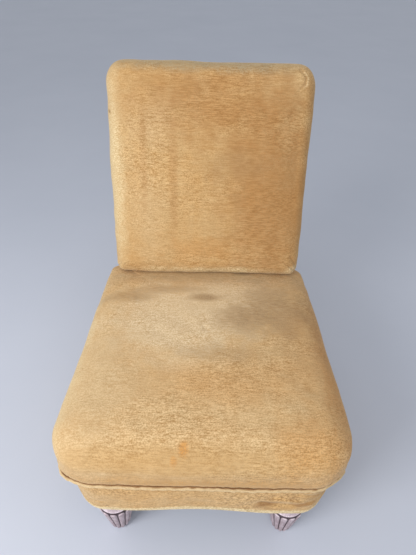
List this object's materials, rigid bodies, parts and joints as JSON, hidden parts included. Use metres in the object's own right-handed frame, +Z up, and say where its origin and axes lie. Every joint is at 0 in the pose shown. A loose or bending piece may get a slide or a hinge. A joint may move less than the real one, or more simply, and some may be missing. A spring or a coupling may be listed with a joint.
{
  "type": "upholstered slipper chair",
  "caption": "Low armless upholstered chair with a crowned sprung seat, a raked padded back, a deep fabric band over the frame and short reeded tapering front legs.",
  "frame": {"origin": "on the floor under the middle of the chair's bounding box", "axes": "+Z up, the seat faces -Y, +X to the right of a person who stands in front of the chair"},
  "size_m": [0.5692, 0.7508, 0.8686],
  "materials": {
    "velour": "matte",
    "limed_wood": "satin",
    "beech": "matte",
    "jute": "matte",
    "hessian": "matte",
    "fibre": "matte",
    "black_cotton": "matte",
    "spring_steel": "satin",
    "nickel": "polished"
  },
  "bodies": {
    "root": {"front_leg_right": "limed_wood", "front_leg_left": "limed_wood", "rear_post_right": "limed_wood", "rear_post_left": "limed_wood", "front_glide_right": "nickel", "front_glide_left": "nickel", "rear_glide_right": "nickel", "rear_glide_left": "nickel", "seat_front_rail": "beech", "seat_rear_rail": "beech", "seat_side_rail_right": "beech", "seat_side_rail_left": "beech", "front_corner_block_right": "beech", "front_corner_block_left": "beech", "rear_corner_block_right": "beech", "rear_corner_block_left": "beech", "back_top_rail": "beech", "back_stay_rail": "beech", "seat_webbing_lengthwise_1": "jute", "seat_webbing_lengthwise_2": "jute", "seat_webbing_lengthwise_3": "jute", "seat_webbing_lengthwise_4": "jute", "seat_webbing_crosswise_1": "jute", "seat_webbing_crosswise_2": "jute", "seat_webbing_crosswise_3": "jute", "seat_webbing_crosswise_4": "jute", "back_webbing_upright_1": "jute", "back_webbing_upright_2": "jute", "back_webbing_upright_3": "jute", "back_webbing_crosswise_1": "jute", "back_webbing_crosswise_2": "jute", "seat_spring_front_left": "spring_steel", "seat_spring_front_centre": "spring_steel", "seat_spring_front_right": "spring_steel", "seat_spring_middle_left": "spring_steel", "seat_spring_middle_centre": "spring_steel", "seat_spring_middle_right": "spring_steel", "seat_spring_rear_left": "spring_steel", "seat_spring_rear_centre": "spring_steel", "seat_spring_rear_right": "spring_steel", "spring_canvas": "hessian", "seat_edge_roll": "fibre", "seat_stuffing": "fibre", "seat_cover": "velour", "seat_piping": "velour", "seat_border": "velour", "dust_cover": "black_cotton", "back_canvas": "hessian", "back_stuffing": "fibre", "back_cover": "velour", "outside_back": "velour"}
  },
  "joints": []
}
